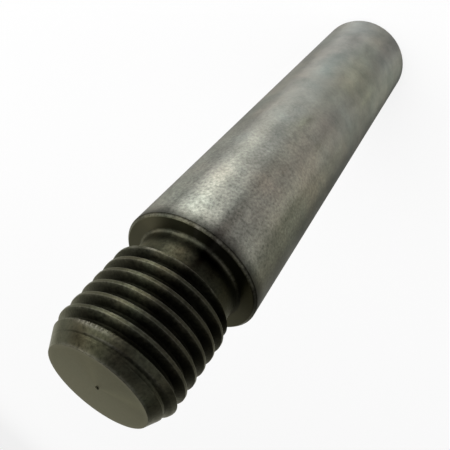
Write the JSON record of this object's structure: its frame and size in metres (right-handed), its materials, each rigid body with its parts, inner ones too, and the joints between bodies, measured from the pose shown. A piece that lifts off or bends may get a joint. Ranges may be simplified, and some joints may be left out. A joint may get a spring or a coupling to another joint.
{
  "type": "threaded taper spigot",
  "caption": "Turned steel spigot with a tapered shank, square shoulder, relief groove and a right-hand threaded stub with a chamfered flat tip.",
  "frame": {"origin": "centre of the small plain end, which it stands on", "axes": "+Z along the axis towards the threaded tip; X and Y are square to the axis"},
  "size_m": [0.025, 0.025, 0.1051],
  "materials": {
    "steel": "turned and ground bare steel, darker on the threaded stub"
  },
  "bodies": {
    "root": {"threaded_taper_spigot": "steel"}
  },
  "joints": []
}
